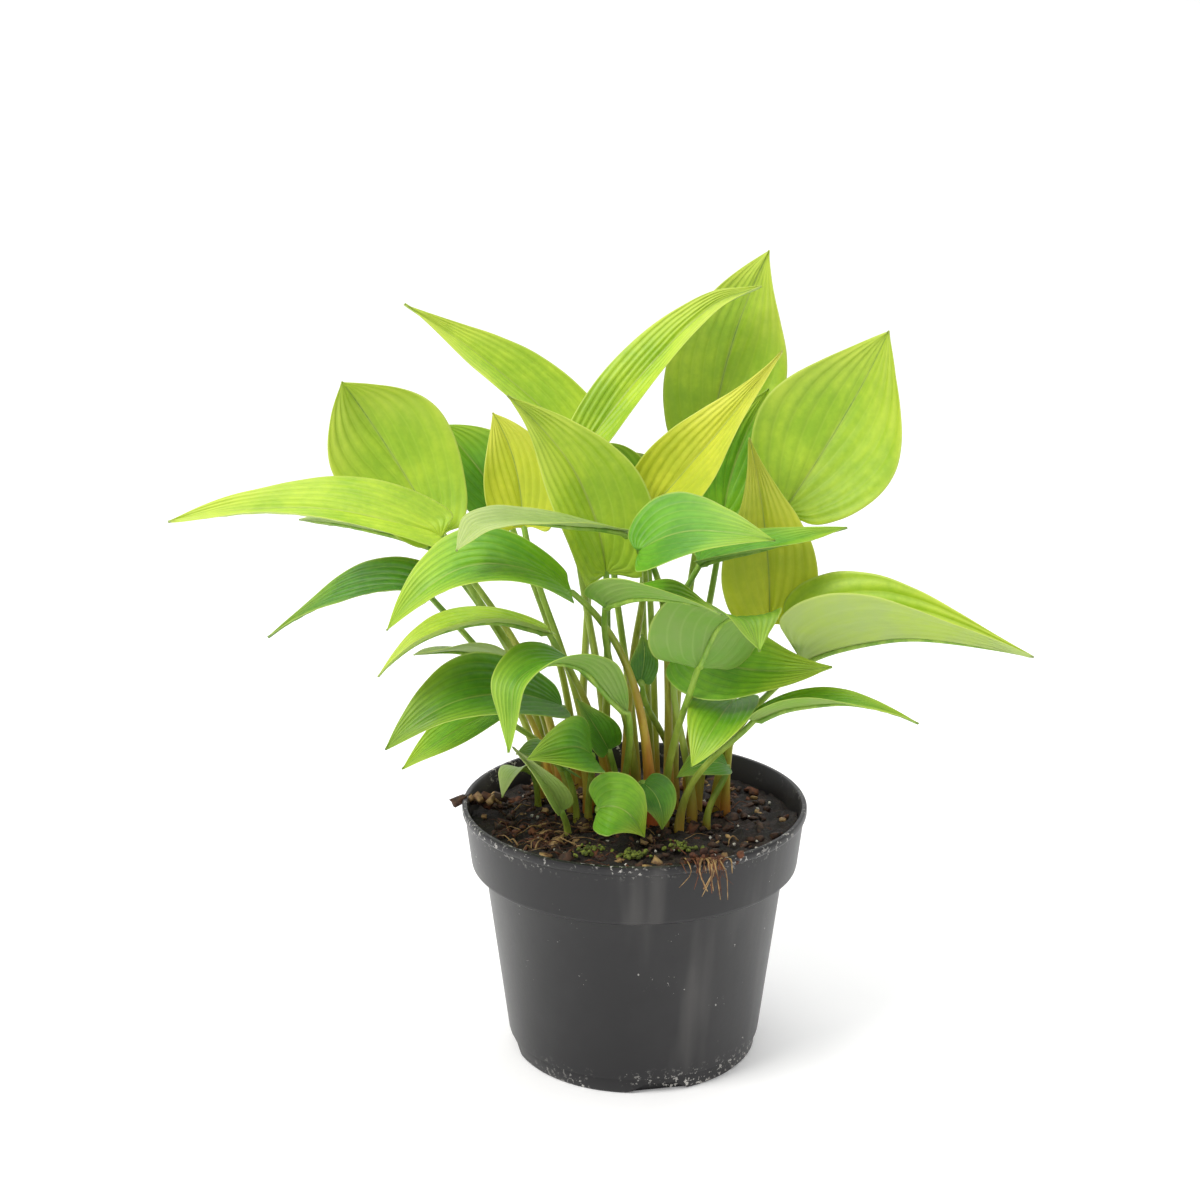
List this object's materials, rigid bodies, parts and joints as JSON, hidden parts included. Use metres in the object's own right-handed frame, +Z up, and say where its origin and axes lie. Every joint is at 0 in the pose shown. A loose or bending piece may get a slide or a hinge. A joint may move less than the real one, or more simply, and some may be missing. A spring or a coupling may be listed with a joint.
{
  "type": "potted homalomena",
  "caption": "Bushy homalomena with heart-shaped lime and green leaves on upright stalks, growing in a round plastic nursery pot of soil.",
  "frame": {"origin": "middle of the pot's underside, on the surface that the pot stands on", "axes": "+Z up along the pot's axis, +X to the right and +Y away from a viewer at the front"},
  "size_m": [0.283, 0.1245, 0.276],
  "materials": {
    "pot_plastic": "satin charcoal injection-moulded plastic",
    "potting_soil": null,
    "leaf_lime": null,
    "leaf_fresh": null,
    "leaf_mid_green": null,
    "leaf_deep_green": null,
    "leaf_yellow_green": null,
    "leaf_pale_green": null
  },
  "bodies": {
    "root": {"pot": "pot_plastic", "soil": "potting_soil", "leaf_back_tall": "leaf_lime", "leaf_right_large": "leaf_lime", "leaf_leaning_bright": "leaf_yellow_green", "leaf_shaded_right": "leaf_fresh", "leaf_upright_yellow": "leaf_yellow_green", "leaf_upper_left": "leaf_lime", "leaf_upper_middle": "leaf_lime", "leaf_left_round": "leaf_lime", "leaf_left_long": "leaf_lime", "leaf_left_lower_pale": "leaf_pale_green", "leaf_far_left_deep": "leaf_deep_green", "leaf_centre_left": "leaf_fresh", "leaf_centre_left_narrow": "leaf_lime", "leaf_lower_left_large": "leaf_deep_green", "leaf_lower_folded": "leaf_mid_green", "leaf_small_heart": "leaf_mid_green", "leaf_small_shaded": "leaf_deep_green", "leaf_front_heart": "leaf_fresh", "leaf_front_shaded": "leaf_deep_green", "leaf_middle_facing": "leaf_lime", "leaf_middle_level": "leaf_pale_green", "leaf_centre_right": "leaf_mid_green", "leaf_right_narrow": "leaf_mid_green", "leaf_middle_hanging": "leaf_mid_green", "leaf_front_cupped": "leaf_mid_green", "leaf_front_right": "leaf_fresh", "leaf_far_right": "leaf_lime", "leaf_lower_right": "leaf_fresh", "leaf_right_drooping": "leaf_fresh", "leaf_right_low": "leaf_deep_green", "leaf_back_left_low": "leaf_pale_green", "leaf_behind_left": "leaf_mid_green", "leaf_middle_back_tan": "leaf_yellow_green", "leaf_middle_back_deep": "leaf_deep_green", "leaf_middle_back_grey": "leaf_pale_green", "leaf_middle_rounded": "leaf_deep_green", "leaf_lower_left_tip": "leaf_fresh", "leaf_left_hidden_grey": "leaf_pale_green", "leaf_shaded_inner": "leaf_deep_green", "leaf_pale_sheath": "leaf_pale_green"}
  },
  "joints": []
}
